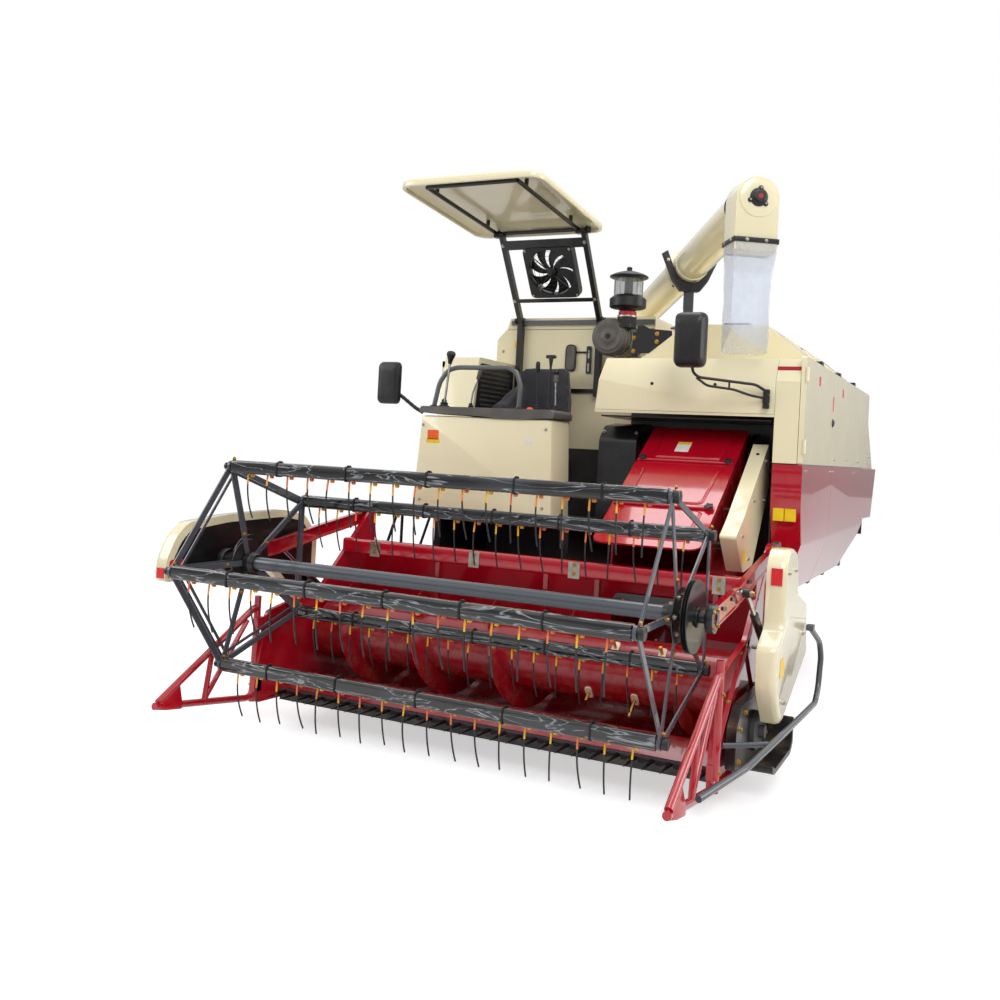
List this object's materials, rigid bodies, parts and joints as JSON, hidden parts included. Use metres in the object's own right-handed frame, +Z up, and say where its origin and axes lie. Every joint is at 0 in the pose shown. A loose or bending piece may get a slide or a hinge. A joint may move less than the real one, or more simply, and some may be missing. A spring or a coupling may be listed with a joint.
{
  "type": "rubber-tracked rice combine harvester",
  "caption": "Self-propelled rubber-tracked combine harvester: cutting header with tined reel, table auger and feeder, threshing body, grain tank, canopy seat and unloading auger.",
  "frame": {"origin": "on the ground under the middle of the machine", "axes": "+X to the machine's left, -Y forwards, +Z up"},
  "size_m": [2.6518, 5.166, 2.9397],
  "materials": {
    "cream_paint": "gloss cream paint",
    "red_paint": "gloss crimson paint",
    "black_paint": "satin black paint",
    "blue_grey_paint": "semi-gloss blue-grey paint",
    "bat_film": "black bats in shiny film",
    "rubber": "matt moulded rubber",
    "cast_iron": "painted casting",
    "grey_floor": "textured dark grey",
    "seat_cloth": "black cloth cover",
    "black_plastic": "moulded black plastic",
    "clear_film": "clear flexible plastic",
    "rod_chrome": "hard chrome"
  },
  "bodies": {
    "machine": {"chassis_frame": "black_paint", "track_left": "rubber", "track_frame_left": "cast_iron", "track_right": "rubber", "track_frame_right": "cast_iron", "drive_axle": "cast_iron", "threshing_case": "red_paint", "side_panel_upper": "cream_paint", "side_panel_lower": "red_paint", "front_hood": "cream_paint", "top_cover": "cream_paint", "rear_hood": "cream_paint", "grain_tank": "cream_paint", "fuel_tank": "black_plastic", "auger_riser": "cream_paint", "auger_cradle": "black_paint", "platform": "grey_floor", "engine": "cast_iron", "console": "cream_paint", "hand_rail": "blue_grey_paint", "seat": "seat_cloth", "radiator_box": "cream_paint", "oil_tank": "black_paint", "air_cleaner": "black_plastic", "mirror_right": "black_plastic", "mirror_left": "black_plastic", "canopy_frame": "black_paint", "canopy_roof": "cream_paint"},
    "side_door": {"side_door": "cream_paint"},
    "radiator_door": {"radiator_door": "black_plastic"},
    "fan": {"fan_rotor": "black_plastic"},
    "unloader": {"unloading_auger": "cream_paint", "grain_chute": "clear_film"},
    "header": {"header_frame": "red_paint", "cutter_bar": "black_paint", "header_side_left": "red_paint", "header_side_right": "red_paint", "feeder_house": "red_paint", "feeder_cover": "red_paint", "feeder_guard": "cream_paint", "side_cover_left": "cream_paint", "side_cover_right": "cream_paint", "guard_bar": "blue_grey_paint", "knife_drive": "black_paint"},
    "table_auger": {"header_auger": "red_paint"},
    "header_barrel": {"header_lift_barrel": "black_paint"},
    "header_rod": {"header_lift_rod": "rod_chrome"},
    "reel_arms": {"reel_arm_left": "red_paint", "reel_arm_right": "red_paint"},
    "reel": {"reel_frame": "blue_grey_paint"},
    "eccentric": {"eccentric_star": "blue_grey_paint"},
    "bat_1": {"tine_bar_1": "bat_film"},
    "bat_2": {"tine_bar_2": "bat_film"},
    "bat_3": {"tine_bar_3": "bat_film"},
    "bat_4": {"tine_bar_4": "bat_film"},
    "bat_5": {"tine_bar_5": "bat_film"},
    "reel_barrel_left": {"reel_lift_left_barrel": "black_paint"},
    "reel_rod_left": {"reel_lift_left_rod": "rod_chrome"},
    "reel_barrel_right": {"reel_lift_right_barrel": "black_paint"},
    "reel_rod_right": {"reel_lift_right_rod": "rod_chrome"}
  },
  "joints": [
    {"name": "header_lift", "type": "hinge", "parent": "machine", "child": "header", "pos_m": [0, -0.33, 1.4], "axis": [-1, 0, 0], "range_deg": [-2, 14]},
    {"name": "header_barrel_pivot", "type": "hinge", "parent": "machine", "child": "header_barrel", "pos_m": [0.24, -0.5, 0.52], "axis": [-1, 0, 0], "range_deg": [-2.86, 17]},
    {"name": "header_rod_slide", "type": "slide", "parent": "header_barrel", "child": "header_rod", "axis": [0, -0.9991, -0.0421], "range_m": [-0.03291, 0.21835]},
    {"name": "reel_lift", "type": "hinge", "parent": "header", "child": "reel_arms", "pos_m": [0, -0.95, 1], "axis": [-1, 0, 0], "range_deg": [0, 16]},
    {"name": "reel_spin", "type": "hinge", "parent": "reel_arms", "child": "reel", "pos_m": [0, -2.075, 0.83], "axis": [1, 0, 0], "continuous": true},
    {"name": "eccentric_spin", "type": "hinge", "parent": "reel_arms", "child": "eccentric", "pos_m": [0, -2.005, 0.83], "axis": [1, 0, 0], "continuous": true},
    {"name": "bat_1_turn", "type": "hinge", "parent": "reel", "child": "bat_1", "pos_m": [0, -2.22024, 1.27174], "axis": [1, 0, 0], "continuous": true},
    {"name": "bat_2_turn", "type": "hinge", "parent": "reel", "child": "bat_2", "pos_m": [0, -1.69976, 1.10463], "axis": [1, 0, 0], "continuous": true},
    {"name": "bat_3_turn", "type": "hinge", "parent": "reel", "child": "bat_3", "pos_m": [0, -1.69786, 0.55799], "axis": [1, 0, 0], "continuous": true},
    {"name": "bat_4_turn", "type": "hinge", "parent": "reel", "child": "bat_4", "pos_m": [0, -2.21715, 0.38726], "axis": [1, 0, 0], "continuous": true},
    {"name": "bat_5_turn", "type": "hinge", "parent": "reel", "child": "bat_5", "pos_m": [0, -2.54, 0.82838], "axis": [1, 0, 0], "continuous": true},
    {"name": "reel_barrel_left_pivot", "type": "hinge", "parent": "header", "child": "reel_barrel_left", "pos_m": [1.19, -1.28, 0.6], "axis": [-1, 0, 0], "range_deg": [-0.5, 16.17]},
    {"name": "reel_rod_left_slide", "type": "slide", "parent": "reel_barrel_left", "child": "reel_rod_left", "axis": [0, -0.8256, 0.5642], "range_m": [-0.002, 0.14657]},
    {"name": "reel_barrel_right_pivot", "type": "hinge", "parent": "header", "child": "reel_barrel_right", "pos_m": [-1.19, -1.28, 0.6], "axis": [-1, 0, 0], "range_deg": [-0.5, 16.17]},
    {"name": "reel_rod_right_slide", "type": "slide", "parent": "reel_barrel_right", "child": "reel_rod_right", "axis": [0, -0.8256, 0.5642], "range_m": [-0.002, 0.14657]},
    {"name": "table_auger_spin", "type": "hinge", "parent": "header", "child": "table_auger", "pos_m": [0, -1.33, 0.425], "axis": [1, 0, 0], "continuous": true},
    {"name": "fan_spin", "type": "hinge", "parent": "machine", "child": "fan", "pos_m": [-0.565, 0.1068, 2.5712], "axis": [0, 0.8333, 0.5528], "continuous": true},
    {"name": "unloader_lift", "type": "hinge", "parent": "machine", "child": "unloader", "pos_m": [-0.85, 1.95, 2.3], "axis": [-0.8352, -0.55, 0], "range_deg": [0, 35]},
    {"name": "side_door_hinge", "type": "hinge", "parent": "machine", "child": "side_door", "pos_m": [1.205, -0.665, 1.68], "axis": [0, 0, -1], "range_deg": [0, 100]},
    {"name": "radiator_door_hinge", "type": "hinge", "parent": "machine", "child": "radiator_door", "pos_m": [-1.175, 0.32, 1.5], "axis": [0, 0, -1], "range_deg": [0, 100]}
  ],
  "couplings": [
    {"joint": "header_barrel_pivot", "follows": "header_lift", "ratio": 1.1787},
    {"joint": "header_rod_slide", "follows": "header_lift", "m_per_rad": 0.88541},
    {"joint": "eccentric_spin", "follows": "reel_spin", "ratio": 1},
    {"joint": "bat_1_turn", "follows": "reel_spin", "ratio": -1},
    {"joint": "bat_2_turn", "follows": "reel_spin", "ratio": -1},
    {"joint": "bat_3_turn", "follows": "reel_spin", "ratio": -1},
    {"joint": "bat_4_turn", "follows": "reel_spin", "ratio": -1},
    {"joint": "bat_5_turn", "follows": "reel_spin", "ratio": -1},
    {"joint": "reel_barrel_left_pivot", "follows": "reel_lift", "ratio": 0.9791},
    {"joint": "reel_rod_left_slide", "follows": "reel_lift", "m_per_rad": 0.51771},
    {"joint": "reel_barrel_right_pivot", "follows": "reel_lift", "ratio": 0.9791},
    {"joint": "reel_rod_right_slide", "follows": "reel_lift", "m_per_rad": 0.51771}
  ]
}
